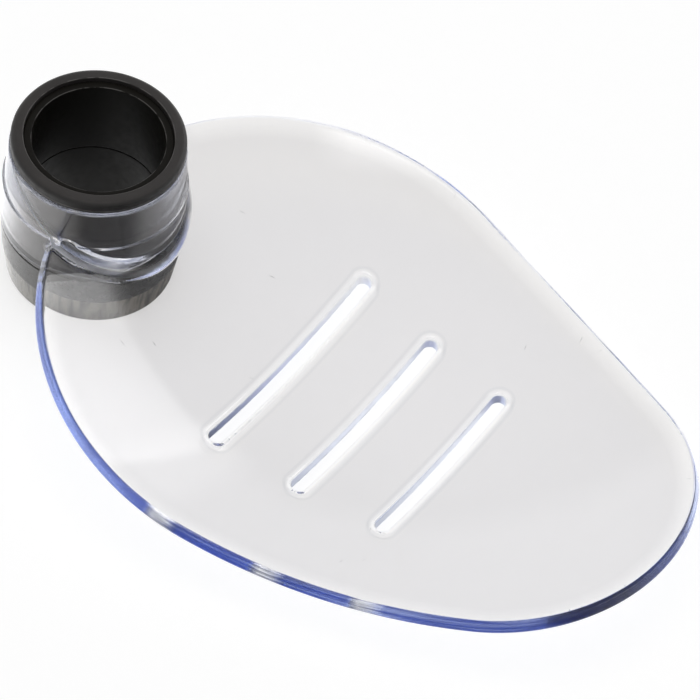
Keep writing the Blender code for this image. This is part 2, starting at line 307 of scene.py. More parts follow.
class Number:
    """A number in a node tree, so that a form's rule can be written as a formula."""

    def __init__(self, tree, socket):
        self.tree = tree
        self.socket = socket

    def act(self, operation, other=None):
        """The outcome of one operation on this number."""
        node = self.tree.nodes.new("ShaderNodeMath")
        node.operation = operation
        self.tree.links.new(self.socket, node.inputs[0])
        if isinstance(other, Number):
            self.tree.links.new(other.socket, node.inputs[1])
        elif other is not None:
            node.inputs[1].default_value = other
        return Number(self.tree, node.outputs[0])

    def __add__(self, other):
        return self.act("ADD", other)

    def __sub__(self, other):
        return self.act("SUBTRACT", other)

    def __mul__(self, other):
        return self.act("MULTIPLY", other)

    def __truediv__(self, other):
        return self.act("DIVIDE", other)

    def __neg__(self):
        return self.act("MULTIPLY", -1.0)

    def __abs__(self):
        return self.act("ABSOLUTE")

    def larger(self, other):
        """The larger of this number and another."""
        return self.act("MAXIMUM", other)

    def smaller(self, other):
        """The smaller of this number and another."""
        return self.act("MINIMUM", other)

    def passes(self, other):
        """1 where this number is above another, else 0."""
        return self.act("GREATER_THAN", other)

    def root(self):
        """The square root."""
        return self.act("SQRT")

    def whole(self):
        """The nearest whole number."""
        return self.act("ROUND")


def span(*parts):
    """Length of a line with these parts along its axes."""
    total = parts[0] * parts[0]
    for part in parts[1:]:
        total = total + part * part
    return total.root()


def overlap(one, other, size):
    """Where two forms overlap, with a round of that size along their common edge."""
    inner = one.larger(other).smaller(-size)
    return inner + span((one + size).larger(0.0), (other + size).larger(0.0))


def joined(one, other, size):
    """Two forms in one, with a fillet of that size where they meet."""
    return -overlap(-one, -other, size)


def fade(number, start, stop):
    """1 below start, 0 above stop, with an even fade between."""
    return ((-number + stop) / (stop - start)).larger(0.0).smaller(1.0)


def outline_rule(x, y, s):
    """Distance from the egg-shaped outline: a wide arc, a small one and two long ones between them."""
    side = abs(y)
    to_big = s["side_radius"] - s["big_radius"]
    to_small = s["side_radius"] - s["small_radius"]
    gap = s["small_centre"] - s["big_radius"]
    shift = (to_big * to_big - to_small * to_small + gap * gap) / (gap * 2.0)
    centre_x = s["big_radius"] + shift
    centre_y = -(to_big * to_big - shift * shift).root()
    at_big = span(x - s["big_radius"], side) - s["big_radius"]
    at_small = span(x - s["small_centre"], side) - s["small_radius"]
    at_side = span(x - centre_x, side - centre_y) - s["side_radius"]
    left = (s["big_radius"] - centre_x) * (side - centre_y) + centre_y * (x - centre_x)
    right = (s["small_centre"] - centre_x) * (side - centre_y) + centre_y * (x - centre_x)
    in_big = left.passes(0.0)
    in_small = -right.passes(0.0) + 1.0
    return at_side + (at_big - at_side) * in_big + (at_small - at_side) * in_small


def slots_rule(x, y, s):
    """Distance from the nearest drain slot, in a row of straight ones, each shorter than the last."""
    number = ((x - s["slot_first"]) / s["slot_pitch"]).whole()
    number = number.larger(0.0).smaller(s["slot_count"] - 1.0)
    half = s["slot_width"] * 0.5
    reach = (s["slot_length"] - s["slot_shorter"] * number) * 0.5 - half
    across = x - s["slot_first"] - s["slot_pitch"] * number
    return span(across, (abs(y) - reach).larger(0.0)) - half


def bowl_place(x, y, z, s):
    """How far a place lies below the bowl's face, and how far outside the outline, square to the bowl."""
    off = x - s["bowl_centre"]
    to_bowl = span(off, y, z - s["bowl_floor"] - s["bowl_radius"])
    square = s["bowl_radius"] / to_bowl
    return to_bowl - s["bowl_radius"], outline_rule(s["bowl_centre"] + off * square, y * square, s)


def dish_rule(x, y, z, s):
    """Distance from the clear moulding's surface, each of its edges with its round."""
    sunk, outline = bowl_place(x, y, z, s)
    tray = overlap(-sunk, outline, s["rim_round"])
    tray = overlap(tray, sunk - s["thickness"], s["foot_round"])
    depth = (sunk / s["thickness"]).larger(0.0).smaller(1.0)
    tray = overlap(tray, -slots_rule(x, y, s), s["lip_round"] - (s["lip_round"] - s["lip_foot"]) * depth)

    radius = span(x, y)
    edge = s["collar_edge"]
    fine = edge * 0.5
    lean = (s["collar_top"] - z) / (s["collar_top"] - s["band_top"])
    hoop = radius - s["hoop_top"] - (s["hoop_foot"] - s["hoop_top"]) * lean.smaller(1.0)
    hoop = overlap(hoop, z - s["collar_top"], edge)
    band = overlap(radius - s["band"], z - s["band_top"], fine)
    collar = joined(hoop, band, fine)
    inside = sunk.larger(outline + s["slit_inset"])
    slit = overlap(inside, -sunk - s["slit_height"], s["slit_height"] * SLIT_ROUND_SHARE)
    collar = overlap(collar, -slit, edge)
    collar = overlap(collar, s["collar_foot"] - z, edge)

    whole = joined(tray, collar, s["web"])
    whole = overlap(whole, s["bore"] - radius, fine)
    space = (radius - s["ring_space"]).larger(z - s["collar_foot"])
    return overlap(whole, -space, fine)


def new_socket(tree, name, kind, way="INPUT", default=None):
    """A named socket on a node tree's interface."""
    socket = tree.interface.new_socket(name=name, in_out=way, socket_type=kind)
    if default is not None:
        socket.default_value = default
    return socket


def size_sockets(tree, sizes):
    """Named inputs for all the sizes of a property group."""
    for key, value in sizes.items():
        new_socket(tree, key, "NodeSocketFloat", default=value)


def form_group(sizes):
    """The node group that gives a place's distance from the dish."""
    tree = bpy.data.node_groups.new("clear_dish_rule", "GeometryNodeTree")
    new_socket(tree, "Place", "NodeSocketVector")
    size_sockets(tree, sizes)
    new_socket(tree, "Distance", "NodeSocketFloat", way="OUTPUT")
    given = tree.nodes.new("NodeGroupInput")
    split = tree.nodes.new("ShaderNodeSeparateXYZ")
    tree.links.new(given.outputs["Place"], split.inputs[0])
    named = {key: Number(tree, given.outputs[key]) for key in sizes}
    x, y, z = (Number(tree, socket) for socket in split.outputs)
    out = tree.nodes.new("NodeGroupOutput")
    tree.links.new(dish_rule(x, y, z, named).socket, out.inputs["Distance"])
    return tree


def ask_form(tree, group, given, sizes, place):
    """The distance from the dish at a place, as a number in a tree."""
    node = tree.nodes.new("GeometryNodeGroup")
    node.node_tree = group
    tree.links.new(place, node.inputs["Place"])
    for key in sizes:
        tree.links.new(given.outputs[key], node.inputs[key])
    return Number(tree, node.outputs["Distance"])


def moved(tree, place, shift):
    """A place with a fixed shift added."""
    node = tree.nodes.new("ShaderNodeVectorMath")
    tree.links.new(place, node.inputs[0])
    node.inputs[1].default_value = shift
    return node.outputs[0]


def scaled(tree, vector, factor):
    """A vector times a number."""
    node = tree.nodes.new("ShaderNodeVectorMath")
    node.operation = "SCALE"
    tree.links.new(vector, node.inputs[0])
    tree.links.new(factor.socket, node.inputs["Scale"])
    return node.outputs[0]


def slope_at(tree, group, given, sizes, place):
    """The slope of the form's distance at a place, and how steep it is."""
    slopes = []
    for axis in range(3):
        shift = [0.0, 0.0, 0.0]
        shift[axis] = FORM_STEP
        ahead = ask_form(tree, group, given, sizes, moved(tree, place, shift))
        shift[axis] = -FORM_STEP
        behind = ask_form(tree, group, given, sizes, moved(tree, place, shift))
        slopes.append((ahead - behind) / (FORM_STEP * 2.0))
    slope = tree.nodes.new("ShaderNodeCombineXYZ")
    for part, socket in zip(slopes, slope.inputs):
        tree.links.new(part.socket, socket)
    return slope.outputs[0], span(*slopes)


def fit_to_form(tree, group, given, sizes, geometry):
    """Moves the skin's points onto the form's true surface, along its slope."""
    place = tree.nodes.new("GeometryNodeInputPosition").outputs[0]
    here = ask_form(tree, group, given, sizes, place)
    slope, steepness = slope_at(tree, group, given, sizes, place)
    step = here / (steepness * steepness).larger(LEAST_STEEPNESS)
    node = tree.nodes.new("GeometryNodeSetPosition")
    tree.links.new(geometry, node.inputs["Geometry"])
    tree.links.new(scaled(tree, slope, -step), node.inputs["Offset"])
    return node.outputs["Geometry"]


def keep_slope(tree, group, given, sizes, geometry):
    """Stores the form's slope on the skin's points, for its shading."""
    place = tree.nodes.new("GeometryNodeInputPosition").outputs[0]
    slope, _ = slope_at(tree, group, given, sizes, place)
    node = tree.nodes.new("GeometryNodeStoreNamedAttribute")
    node.data_type = "FLOAT_VECTOR"
    node.domain = "POINT"
    tree.links.new(geometry, node.inputs["Geometry"])
    node.inputs["Name"].default_value = SLOPE_NAME
    tree.links.new(slope, node.inputs["Value"])
    return node.outputs["Geometry"]


def dish_tree(sizes, low, high, counts):
    """The node tree that makes the dish from its rule."""
    group = form_group(sizes)
    tree = bpy.data.node_groups.new("clear_dish", "GeometryNodeTree")
    size_sockets(tree, sizes)
    new_socket(tree, "Finish", "NodeSocketMaterial")
    new_socket(tree, "Geometry", "NodeSocketGeometry", way="OUTPUT")
    given = tree.nodes.new("NodeGroupInput")
    place = tree.nodes.new("GeometryNodeInputPosition").outputs[0]
    cube = tree.nodes.new("GeometryNodeVolumeCube")
    filled = -(ask_form(tree, group, given, sizes, place) * DENSITY_SCALE) + 1.0
    tree.links.new(filled.socket, cube.inputs["Density"])
    cube.inputs["Background"].default_value = 0.0
    cube.inputs["Min"].default_value = low
    cube.inputs["Max"].default_value = high
    for key, count in zip("XYZ", counts):
        cube.inputs[f"Resolution {key}"].default_value = count
    skin = tree.nodes.new("GeometryNodeVolumeToMesh")
    tree.links.new(cube.outputs["Volume"], skin.inputs["Volume"])
    skin.inputs["Threshold"].default_value = 1.0
    tree.links.new(given.outputs["thinning"], skin.inputs["Adaptivity"])
    geometry = skin.outputs["Mesh"]
    for _ in range(FITTING_PASSES):
        geometry = fit_to_form(tree, group, given, sizes, geometry)
    finish_tree(tree, given, keep_slope(tree, group, given, sizes, geometry))
    return tree


def finish_tree(tree, given, geometry):
    """Smooth shading, real geometry and the material at the end of a node tree."""
    soft = tree.nodes.new("GeometryNodeSetShadeSmooth")
    real = tree.nodes.new("GeometryNodeRealizeInstances")
    coat = tree.nodes.new("GeometryNodeSetMaterial")
    out = tree.nodes.new("NodeGroupOutput")
    tree.links.new(geometry, soft.inputs[0])
    tree.links.new(soft.outputs[0], real.inputs[0])
    tree.links.new(real.outputs[0], coat.inputs["Geometry"])
    tree.links.new(given.outputs["Finish"], coat.inputs["Material"])
    tree.links.new(coat.outputs[0], out.inputs["Geometry"])


def real_mesh(item, name):
    """Turns what an object's modifiers make into its plain mesh."""
    graph = bpy.context.evaluated_depsgraph_get()
    made = item.evaluated_get(graph)
    mesh = bpy.data.meshes.new_from_object(made, preserve_all_data_layers=True, depsgraph=graph)
    mesh.name = name
    item.modifiers.clear()
    item.data = mesh
    return item


def shade_by_slope(mesh):
    """Shades a mesh by the slope that its tree stored, so that small rounds look smooth."""
    stored = mesh.attributes[SLOPE_NAME]
    normals = [item.vector.normalized() for item in stored.data]
    mesh.attributes.remove(stored)
    mesh.normals_split_custom_set_from_vertices(normals)


def new_object(name, mesh):
    """Puts a mesh into the scene as a named object."""
    item = bpy.data.objects.new(name, mesh)
    bpy.context.scene.collection.objects.link(item)
    return item


def from_tree(name, tree, values):
    """An object with a plain mesh made by a node tree."""
    item = new_object(name, bpy.data.meshes.new(name))
    made = item.modifiers.new("form", "NODES")
    made.node_group = tree
    for socket in tree.interface.items_tree:
        if socket.in_out == "INPUT" and socket.name in values:
            made[socket.identifier] = values[socket.name]
    return real_mesh(item, name)


def eased_profile(corners):
    """Points of a closed profile of (radius, height, easing) corners, each rounded by its easing."""
    points = []
    for index, (radius, height, ease) in enumerate(corners):
        here = Vector((radius, height))
        back = (Vector(corners[index - 1][:2]) - here).normalized()
        ahead = (Vector(corners[(index + 1) % len(corners)][:2]) - here).normalized()
        half = back.angle(ahead) / 2.0
        if ease == 0.0 or half > NEARLY_STRAIGHT:
            points.append(here)
            continue
        centre = here + (back + ahead).normalized() * ease / sin(half)
        start = here + back * ease / tan(half) - centre
        stop = here + ahead * ease / tan(half) - centre
        turn = start.angle(stop)
        for step in range(EASE_STEPS + 1):
            share = step / EASE_STEPS
            mixed = start * sin((1.0 - share) * turn) + stop * sin(share * turn)
            points.append(centre + mixed / sin(turn))
    return points


def turned(name, corners, finish):
    """A solid turned about the rail's axis from a closed profile that runs down its outer side."""
    profile = eased_profile(corners)
    form = bmesh.new()
    rings = []
    for step in range(TURN_STEPS):
        turn = 2.0 * pi * step / TURN_STEPS
        rings.append([form.verts.new((p.x * cos(turn), p.x * sin(turn), p.y)) for p in profile])
    for ring, after in zip(rings, rings[1:] + rings[:1]):
        for index in range(len(profile)):
            following = (index + 1) % len(profile)
            form.faces.new((ring[index], ring[following], after[following], after[index]))
    bmesh.ops.recalc_face_normals(form, faces=form.faces)
    mesh = bpy.data.meshes.new(name)
    form.to_mesh(mesh)
    form.free()
    mesh.shade_smooth()
    mesh.materials.append(finish)
    item = new_object(name, mesh)
    item.modifiers.new("even shading", "WEIGHTED_NORMAL").keep_sharp = True
    return real_mesh(item, name)


def dress(item, body, node):
    """Puts a piece in place of its CAD node."""
    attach(item, body)
    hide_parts(node)


class Shader:
    """A material under construction, with short ways to add its nodes."""

    def __init__(self, name):
        self.material = bpy.data.materials.new(name)
        self.material.use_nodes = True
        self.nodes = self.material.node_tree.nodes
        self.links = self.material.node_tree.links
        self.nodes.clear()
        self.out = self.nodes.new("ShaderNodeOutputMaterial")
        self.places = self.nodes.new("ShaderNodeTexCoord").outputs["Object"]

    def add(self, kind, **values):
        """A node with values on its inputs. Linked sockets are given as sockets."""
        node = self.nodes.new(kind)
        for key, value in values.items():
            socket = node.inputs[key.replace("_", " ")]
            if isinstance(value, bpy.types.NodeSocket):
                self.links.new(value, socket)
            else:
                socket.default_value = value
        return node

    def noise(self, scale, detail=3.0, roughness=0.5):
        """A noise on the object's own coordinates."""
        values = {"Vector": self.places, "Scale": scale, "Detail": detail, "Roughness": roughness}
        return self.add("ShaderNodeTexNoise", **values).outputs[0]

    def between(self, value, low, high, start=0.3, stop=0.7):
        """A value spread from low to high."""
        node = self.add("ShaderNodeMapRange", Value=value)
        for index, number in enumerate((start, stop, low, high), 1):
            node.inputs[index].default_value = number
        return node.outputs[0]

    def mix(self, factor, one, other):
        """A colour between two others, each of them a socket or a plain colour."""
        node = self.nodes.new("ShaderNodeMix")
        node.data_type = "RGBA"
        self.links.new(factor, node.inputs[0])
        for colour, socket in ((one, node.inputs[6]), (other, node.inputs[7])):
            if isinstance(colour, bpy.types.NodeSocket):
                self.links.new(colour, socket)
            else:
                socket.default_value = (*colour, 1.0)
        return node.outputs[2]

    def parts(self):
        """The object's own coordinates as three numbers."""
        split = self.add("ShaderNodeSeparateXYZ", Vector=self.places)
        return [Number(self.material.node_tree, socket) for socket in split.outputs]

    def fixed(self, value):
        """A plain number as a node."""
        node = self.nodes.new("ShaderNodeValue")
        node.outputs[0].default_value = value
        return Number(self.material.node_tree, node.outputs[0])

    def bump(self, height, distance, strength=1.0, **under):
        """A bumped normal, on top of another one where it is given as Normal."""
        node = self.add("ShaderNodeBump", Height=height, Distance=distance, Strength=strength, **under)
        return node.outputs[0]


def rim_streaks(made, x, y, sunk):
    """Fine polishing lines that run along the rim, bumped into its face and also painted into its blue as
    painted streaks of light and shade.
    """
    tree = made.material.node_tree
    flow = tree.nodes.new("ShaderNodeCombineXYZ")
    for part, socket in zip((sunk * STREAKS_ACROSS, x * STREAKS_ALONG, y * STREAKS_ALONG), flow.inputs):
        tree.links.new(part.socket, socket)
    lines = made.add("ShaderNodeTexNoise", Vector=flow.outputs[0], Scale=1.0, Detail=2.0, Roughness=0.6)
    return Number(tree, lines.outputs[0])


def dish_places(made, sizes):
    """Where each finish lies on the dish, as numbers from 0 to 1 by name."""
    x, y, z = made.parts()
    named = {key: made.fixed(value) for key, value in sizes.items()}
    sunk, outline = bowl_place(x, y, z, named)
    slots = slots_rule(x, y, named)
    radius = span(x, y)
    tray = -fade(radius, *COLLAR_REACH) + 1.0
    near = fade(y, *NEAR_SIDE)
    # The tray's border and the slots' lips are painted lighter, a painted highlight
    border = fade(abs(outline), *BORDER_BAND) * tray * BORDER_SHARE
    past_hoop = [sizes["hoop_foot"] + part for part in SLIT_PAST_HOOP]
    slit_floor = fade(radius, *past_hoop) * fade(abs(sunk + SLIT_FLOOR_RISE), *SLIT_FLOOR_BAND)
    return SimpleNamespace(
        streaks=rim_streaks(made, x, y, sunk),
        lip_and_border_highlight=fade(slots, *LIP_BAND).larger(border),
        # Painted shade: a darker line along the crease round the slots
        crease=fade(abs(slots - CREASE_PLACE), *CREASE_BAND) * CREASE_SHARE,
        rim=fade(abs(outline), *RIM_BAND) * tray,
        # Painted shade: the near rim is painted a deeper blue beyond the given reach along +X
        near_rim_shade=(-fade(x, *PALE_RIM_REACH) + 1.0) * near,
        # Painted highlights on the rim where the slots' ends light it up
        glint=reduce(Number.larger, [fade(abs(x - place), *GLINT_BAND) for place in GLINTS]) * near,
        slit_floor=slit_floor * fade(x, *SLIT_FRONT) * fade(outline, *SLIT_INSIDE),
        bore=fade(radius, sizes["bore"], sizes["bore"] + BORE_EDGE),
        ledge=fade(radius, *LEDGE_REACH) * fade(abs(sunk), *LEDGE_BAND),
        walls=fade(slots, *WALL_BAND),
    )


def clear_colour(made, look, at):
    """What the dish's faces let through, with painted light: painted highlights on the lips and border,
    painted shade along a faint crease round the slots, a blue rim with painted shade, streaks and glints, and
    a painted highlight on the slit's floor.
    """
    face = made.mix(at.lip_and_border_highlight.socket, look.clear_face, HIGHLIGHT_TONE)
    # Painted shade along the crease round the slots
    face = made.mix(at.crease.socket, face, CREASE_SHADE_TONE)
    # Painted light on the rim: deeper blue as painted shade on the near side, and lighter and darker painted
    # streaks
    blue = at.near_rim_shade * RIM_NEAR_SHADE + (at.streaks - 0.5) * RIM_STREAKS + RIM_LEAST
    # The glints are painted lighter, with painted streaks, as painted highlights
    blue = blue - at.glint * GLINT_PALENESS + (at.streaks - 0.5) * at.glint * GLINT_STREAKS
    face = made.mix(at.rim.socket, face, made.mix(blue.socket, WHITE, look.rim_tone))
    # Painted highlight on the slit's floor
    return made.mix(at.slit_floor.socket, face, SLIT_FLOOR_HIGHLIGHT_TONE)


def clear_plastic(look, sizes):
    """Polished clear moulding plastic: blue in its depth, painted lighter on its lips as a painted highlight,
    with polishing streaks along its rim that are both bumped and painted.
    """
    made = Shader("clear_acrylic_look")
    at = dish_places(made, sizes)
    polish = made.between(made.noise(scale=160.0, detail=4.0), low=0.0, high=0.03)
    rough = Number(made.material.node_tree, polish) + at.bore * BORE_ROUGHNESS
    rough = rough + at.ledge * (-at.slit_floor + 1.0) * LEDGE_ROUGHNESS
    rough = rough + at.slit_floor * SLIT_FLOOR_ROUGHNESS + at.walls * WALL_ROUGHNESS
    mirror = at.slit_floor * SLIT_FLOOR_MIRROR + at.glint * at.rim * (at.streaks + GLINT_MIRROR)
    lines = at.streaks * at.rim * (at.glint * GLINT_STREAKS + 1.0)
    wavy = made.bump(made.noise(scale=28.0, detail=2.0), WAVE_HEIGHT)
    shader = made.add(
        "ShaderNodeBsdfPrincipled",
        Base_Color=clear_colour(made, look, at),
        Roughness=rough.socket,
        IOR=1.49,
        Metallic=mirror.smaller(1.0).socket,
        Transmission_Weight=1.0,
        Normal=made.bump(lines.socket, STREAK_HEIGHT, Normal=wavy),
    )
    through = made.add("ShaderNodeBsdfTransparent", Color=SHADOW_TONE)
    path = made.nodes.new("ShaderNodeLightPath")
    mixed = made.add("ShaderNodeMixShader", Fac=path.outputs["Is Shadow Ray"])
    made.links.new(shader.outputs[0], mixed.inputs[1])
    made.links.new(through.outputs[0], mixed.inputs[2])
    made.links.new(mixed.outputs[0], made.out.inputs["Surface"])
    depth = made.add("ShaderNodeVolumeAbsorption", Color=(*look.clear_depth, 1.0), Density=look.clear_density)
    made.links.new(depth.outputs[0], made.out.inputs["Volume"])
    return made.material


def dark_plastic(
    name, tone, roughness, grain, shine, low_tone=None, low_roughness=None, step=0.0,
    highlit_edges=(), painted_shade_from=1.0, drawing=0.0,
):
    """Matt charcoal moulding plastic with a fine grain.

    Below the height of its step it can have another tone and gloss: darker painted shade on the bush, a paler
    painted reflection on the ring. Beyond a given radius its side has painted shade, drawing gives it fine
    upright lines, and each edge given by (radius, height) gets a broken painted highlight."""
    made = Shader(name)
    tree = made.material.node_tree
    x, y, height = made.parts()
    radius = span(x, y)
    low_tone = low_tone or tone
    is_low = fade(height, step - STEP_EDGE, step + STEP_EDGE)
    mottle = made.between(made.noise(scale=140.0, detail=4.0), 0.0, 1.0)
    upper = made.mix(mottle, tone, [UPPER_MOTTLE * part for part in tone])
    lower = made.mix(mottle, low_tone, [LOWER_MOTTLE * part for part in low_tone])
    colour = made.mix(is_low.socket, upper, lower)
    grit = made.between(made.noise(scale=900.0, detail=3.0), low=-0.06, high=0.08)
    gloss = Number(tree, grit) + roughness
    if low_roughness is not None:
        gloss = gloss + is_low * (low_roughness - roughness)

    drawn = made.add("ShaderNodeMapping", Vector=made.places, Scale=DRAWN_SCALE).outputs[0]
    lines = made.add("ShaderNodeTexNoise", Vector=drawn, Scale=1.0, Detail=3.0).outputs[0]
    colour = made.mix(made.between(lines, 0.0, drawing, start=0.4, stop=0.65), colour, DARKEST)
    # Painted shade: beyond the given radius the flange's side is darkened
    flank = -fade(radius, painted_shade_from, painted_shade_from + FLANK_EDGE) + 1.0
    colour = made.mix((flank * FLANK_SHARE).socket, colour, DARKEST)
    # Painted highlight: a lighter broken line along each given edge
    for edge_radius, edge_height in highlit_edges:
        off_edge = span(radius - edge_radius, height - edge_height)
        broken = made.between(made.noise(scale=420.0, detail=3.0), 0.0, 1.0, start=0.42, stop=0.52)
        worn = fade(off_edge, EDGE_HIGHLIGHT_WIDTH, 2.0 * EDGE_HIGHLIGHT_WIDTH) * Number(tree, broken)
        colour = made.mix(worn.socket, colour, EDGE_HIGHLIGHT_TONE)
    shader = made.add(
        "ShaderNodeBsdfPrincipled",
        Base_Color=colour,
        Roughness=gloss.socket,
        IOR=1.5,
        Specular_IOR_Level=shine,
        Normal=made.bump(made.noise(scale=3800.0, detail=2.0), grain, strength=0.6),
    )
    made.links.new(shader.outputs[0], made.out.inputs["Surface"])
    return made.material


def mirrored_floor_shade(made):
    """What mirrors see of the floor: painted shade in front, a painted shadow under the tray, and white
    elsewhere.
    """
    x, y, _ = made.parts()
    reach = span(x, y).larger(LEAST_REACH)
    shades = []
    for middle, half, limit in (FRONT_SHADE, UNDER_TRAY_SHADOW):
        way = toward(middle, 0.0)
        ahead = (x * way.x + y * way.y) / reach
        inner, outer = cos(radians(half - SHADE_SOFTNESS)), cos(radians(half + SHADE_SOFTNESS))
        shades.append(fade(-ahead, -inner, -outer) * fade(reach, limit, limit * SHADE_FRAY))
    return -reduce(Number.larger, shades) * MIRRORED_FLOOR_LEVEL + MIRRORED_FLOOR_LEVEL


def floor_paint(look):
    """White floor that keeps its shadows and reaches white in the picture.

    Its lift is for the rays that show the background, straight, mirrored or through clear plastic."""
    made = Shader("studio_floor")
    tree = made.material.node_tree
    speck = made.between(made.noise(scale=300.0, detail=3.0), 0.0, 1.0)
    worn = [FLOOR_WEAR * part for part in look.floor_tone]
    paint = made.add("ShaderNodeBsdfDiffuse", Color=made.mix(speck, look.floor_tone, worn))
    path = made.nodes.new("ShaderNodeLightPath")
    rays = ("Is Camera Ray", "Is Glossy Ray", "Is Transmission Ray")
    sight = reduce(Number.larger, [Number(tree, path.outputs[ray]) for ray in rays])
    mirrored = Number(tree, path.outputs["Glossy Depth"]).smaller(1.0)
    # Mirrored rays see painted shade in front of the object and a painted shadow under the tray
    lift = sight * (mirrored * (mirrored_floor_shade(made) - FLOOR_LIFT) + FLOOR_LIFT)
    glow = made.add("ShaderNodeEmission", Strength=lift.socket)
    both = made.nodes.new("ShaderNodeAddShader")
    made.links.new(paint.outputs[0], both.inputs[0])
    made.links.new(glow.outputs[0], both.inputs[1])
    made.links.new(both.outputs[0], made.out.inputs["Surface"])
    return made.material


def toward(azimuth, elevation):
    """The direction at an angle round the object and above the horizon."""
    turn, rise = radians(azimuth), radians(elevation)
    return Vector((cos(rise) * cos(turn), cos(rise) * sin(turn), sin(rise)))


def along(tree, way, axis):
    """How far a direction points along an axis."""
    node = tree.nodes.new("ShaderNodeVectorMath")
    node.operation = "DOT_PRODUCT"
    tree.links.new(way, node.inputs[0])
    node.inputs[1].default_value = axis
    return Number(tree, node.outputs["Value"])


def glow_panel(tree, way, azimuth, elevation, half_width, half_height, edge):
    """1 inside a soft-edged panel of the sky, else 0."""
    front = toward(azimuth, elevation)
    side = front.cross(Vector((0.0, 0.0, 1.0))).normalized()
    rise = side.cross(front)
    depth = along(tree, way, front)
    across = abs(along(tree, way, side) / depth.larger(PANEL_AHEAD))
    height = abs(along(tree, way, rise) / depth.larger(PANEL_AHEAD))
    wide, tall = tan(radians(half_width)), tan(radians(half_height))
    shape = fade(across, wide - edge, wide + edge) * fade(height, tall - edge, tall + edge)
    return shape * depth.passes(PANEL_AHEAD)


def studio_world():
    """Soft even daylight with white walls, a greyer ceiling and bright panels.

    Mirrors and clear plastic see all of it, the camera sees plain white, and matt faces get a plain level."""
    world = bpy.data.worlds.new("studio")
    bpy.context.scene.world = world
    world.use_nodes = True
    tree = world.node_tree
    tree.nodes.clear()
    path = tree.nodes.new("ShaderNodeLightPath")
    way = tree.nodes.new("ShaderNodeTexCoord").outputs["Generated"]
    rays = {ray: Number(tree, path.outputs[f"Is {ray} Ray"]) for ray in ("Camera", "Glossy", "Transmission")}
    clear_sight = rays["Glossy"].larger(rays["Transmission"])
    sight = clear_sight.larger(rays["Camera"])
    walls = fade(along(tree, way, (0.0, 0.0, 1.0)), *(sin(radians(part)) for part in CEILING_EDGE))
    seen = walls * (WALL_LEVEL - CEILING_LEVEL) + CEILING_LEVEL
    for *shape, level in SKY_PANELS.values():
        seen = seen + glow_panel(tree, way, *shape) * level
    total = sight * (1.0 - DAY_LEVEL) + DAY_LEVEL + clear_sight * (seen - 1.0)
    back = tree.nodes.new("ShaderNodeBackground")
    back.inputs["Color"].default_value = (1.0, 1.0, 1.0, 1.0)
    tree.links.new(total.socket, back.inputs["Strength"])
    out = tree.nodes.new("ShaderNodeOutputWorld")
    tree.links.new(back.outputs[0], out.inputs["Surface"])


def softbox(name, azimuth, elevation, distance, size, radiance, target=(0.05, 0.0, 0.01)):
    """An area lamp at an angle round the object, turned to it."""
    lamp = bpy.data.lights.new(name, "AREA")
    lamp.shape = "RECTANGLE"
    lamp.size, lamp.size_y = size
    lamp.energy = radiance * pi * size[0] * size[1]
    item = bpy.data.objects.new(name, lamp)
    bpy.context.scene.collection.objects.link(item)
    way = toward(azimuth, elevation)
    item.location = Vector(target) + way * distance
    item.rotation_euler = way.to_track_quat("Z", "Y").to_euler()
    item.visible_glossy = False
    item.visible_transmission = False
    return item


def dish_values(sizes):
    """The dish's sizes as plain numbers by name."""
    return {key: float(getattr(sizes, key)) for key in DishSizes.__annotations__ if key != "voxel"}


class SOAPDISH_OT_dish(bpy.types.Operator):
    """Makes the clear dish from its rule and puts it in place of the CAD solid"""

    bl_idname = "soapdish.dish"
    bl_label = "Clear dish"

    def execute(self, context):
        sizes = context.scene.dish_sizes
        values = dish_values(sizes)
        margin = 3.0 * sizes.voxel
        low, high = (Vector(corner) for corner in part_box("dish"))
        low -= Vector((margin, margin, margin))
        high += Vector((margin, margin, margin))
        counts = [round(side / sizes.voxel) for side in high - low]
        tree = dish_tree(values, low, high, counts)
        finish = clear_plastic(context.scene.finishes, values)
        item = from_tree("clear_dish", tree, {**values, "Finish": finish})
        if not item.data.polygons:
            raise RuntimeError("The dish's rule gave no faces")
        shade_by_slope(item.data)
        dress(item, "dish", "dish")
        return {"FINISHED"}


class SOAPDISH_OT_bush(bpy.types.Operator):
    """Makes the flanged bush that the collar turns on"""

    bl_idname = "soapdish.bush"
    bl_label = "Flanged bush"

    def execute(self, context):
        s = context.scene.bush_sizes
        top = BUSH_BOX[1][2]
        fine = s.liner_ease
        corners = [
            (s.flange_radius, top, s.flange_ease),
            (s.flange_radius, top - s.flange_height, s.flange_ease * FLANGE_FOOT_SHARE),
            (s.sleeve_radius, top - s.flange_height, 0.0),
            (s.sleeve_radius, s.bead_height + 2.0 * s.bead_rise, 0.0),
            (s.sleeve_radius + s.bead_rise, s.bead_height, fine),
            (s.sleeve_radius, s.bead_height - 2.0 * s.bead_rise, 0.0),
            (s.sleeve_radius, s.bush_foot, fine),
            (s.bush_bore, s.bush_foot, fine),
            (s.bush_bore, top, fine),
        ]
        tone = context.scene.finishes.bush_tone
        finish = dark_plastic(
            "charcoal_bush_look",
            tone,
            roughness=0.50,
            grain=0.000006,
            shine=0.33,
            # Painted shade: the sleeve below the flange, inside the collar, is painted darker
            low_tone=[0.75 * part for part in tone],
            low_roughness=0.18,
            step=top - s.flange_height,
            # The bore's mouth and the flange's side get a painted edge highlight
            highlit_edges=((s.bush_bore, top), (s.flange_radius, top - FLANGE_HIGHLIGHT_SHARE * s.flange_height)),
            # Painted shade on the flange's outer side
            painted_shade_from=s.flange_radius - FLANK_INSET,
        )
        dress(turned("flanged_bush_skin", corners, finish), "bush", "flanged_bush")
        return {"FINISHED"}


